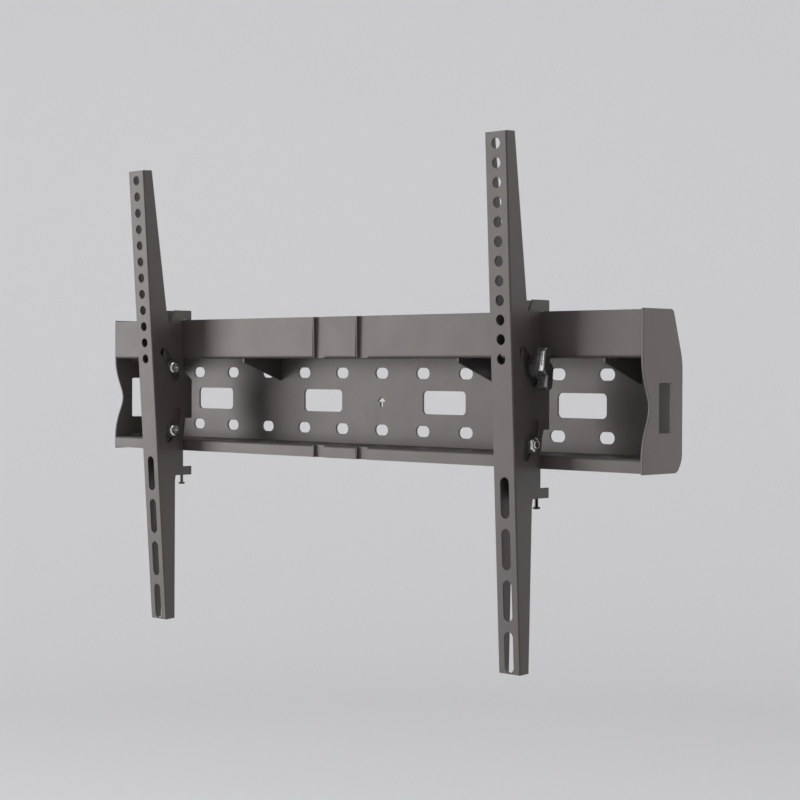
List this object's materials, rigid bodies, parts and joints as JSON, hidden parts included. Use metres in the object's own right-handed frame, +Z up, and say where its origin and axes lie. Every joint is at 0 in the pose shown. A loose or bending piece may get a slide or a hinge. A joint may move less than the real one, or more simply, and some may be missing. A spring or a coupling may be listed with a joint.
{
  "type": "tilting tv wall mount",
  "caption": "Flat screen wall mount: slotted wall channel with end caps, hook brackets that slide along its lips, and upright drilled rails that tilt in arc slots and clamp with wing knobs.",
  "frame": {"origin": "on the wall face, at the middle of the wall plate's slot pattern", "axes": "+X along the wall plate to the viewer's right, +Y into the wall, +Z up"},
  "size_m": [0.643, 0.1001, 0.4187],
  "materials": {
    "powder_coat": "satin powder coat, warm dark grey",
    "cap_plastic": "fine moulded texture",
    "bright_zinc": "bright zinc plate",
    "dark_zinc": "dark zinc plate",
    "bush_nylon": "plain moulded nylon",
    "knob_plastic": "satin moulded plastic"
  },
  "bodies": {
    "wall": {"wall_plate": "powder_coat", "gusset_1": "powder_coat", "gusset_2": "powder_coat", "gusset_3": "powder_coat", "gusset_4": "powder_coat", "left_end_cap": "cap_plastic", "right_end_cap": "cap_plastic"},
    "right_carrier": {"right_hook_bracket": "powder_coat", "right_upper_tilt_bolt": "bright_zinc", "right_lower_tilt_bolt": "bright_zinc", "right_upper_spacer": "bright_zinc", "right_lower_spacer": "bright_zinc", "right_upper_inner_bush": "bush_nylon", "right_upper_outer_bush": "bush_nylon", "right_lower_inner_bush": "bush_nylon", "right_lower_outer_bush": "bush_nylon", "right_knob_washer": "dark_zinc", "right_nut_washer": "dark_zinc", "right_lock_nut": "bright_zinc"},
    "right_rail": {"right_tv_rail": "powder_coat"},
    "right_knob": {"right_tilt_knob": "knob_plastic"},
    "right_lock": {"right_lock_screw": "dark_zinc"},
    "left_carrier": {"left_hook_bracket": "powder_coat", "left_upper_tilt_bolt": "bright_zinc", "left_lower_tilt_bolt": "bright_zinc", "left_upper_spacer": "bright_zinc", "left_lower_spacer": "bright_zinc", "left_upper_inner_bush": "bush_nylon", "left_upper_outer_bush": "bush_nylon", "left_lower_inner_bush": "bush_nylon", "left_lower_outer_bush": "bush_nylon", "left_knob_washer": "dark_zinc", "left_nut_washer": "dark_zinc", "left_lock_nut": "bright_zinc"},
    "left_rail": {"left_tv_rail": "powder_coat"},
    "left_knob": {"left_tilt_knob": "knob_plastic"},
    "left_lock": {"left_lock_screw": "dark_zinc"}
  },
  "joints": [
    {"name": "right_slide", "type": "slide", "parent": "wall", "child": "right_carrier", "axis": [1, 0, 0], "range_m": [-0.1545, 0.0855]},
    {"name": "right_tilt", "type": "hinge", "parent": "right_carrier", "child": "right_rail", "pos_m": [0.2145, -0.12, 0], "axis": [1, 0, 0], "range_deg": [-14.7, 9.3]},
    {"name": "right_knob_turn", "type": "hinge", "parent": "right_carrier", "child": "right_knob", "pos_m": [0.2345, -0.065, 0.02925], "axis": [1, 0, 0], "range_deg": [0, 360]},
    {"name": "right_lock_travel", "type": "slide", "parent": "right_carrier", "child": "right_lock", "axis": [0, 0, 1], "range_m": [0, 0.007]},
    {"name": "left_slide", "type": "slide", "parent": "wall", "child": "left_carrier", "axis": [1, 0, 0], "range_m": [-0.076, 0.164]},
    {"name": "left_tilt", "type": "hinge", "parent": "left_carrier", "child": "left_rail", "pos_m": [-0.224, -0.12, 0], "axis": [1, 0, 0], "range_deg": [-15.85, 8.15]},
    {"name": "left_knob_turn", "type": "hinge", "parent": "left_carrier", "child": "left_knob", "pos_m": [-0.244, -0.065, 0.02925], "axis": [1, 0, 0], "range_deg": [-360, 0]},
    {"name": "left_lock_travel", "type": "slide", "parent": "left_carrier", "child": "left_lock", "axis": [0, 0, 1], "range_m": [0, 0.007]}
  ]
}
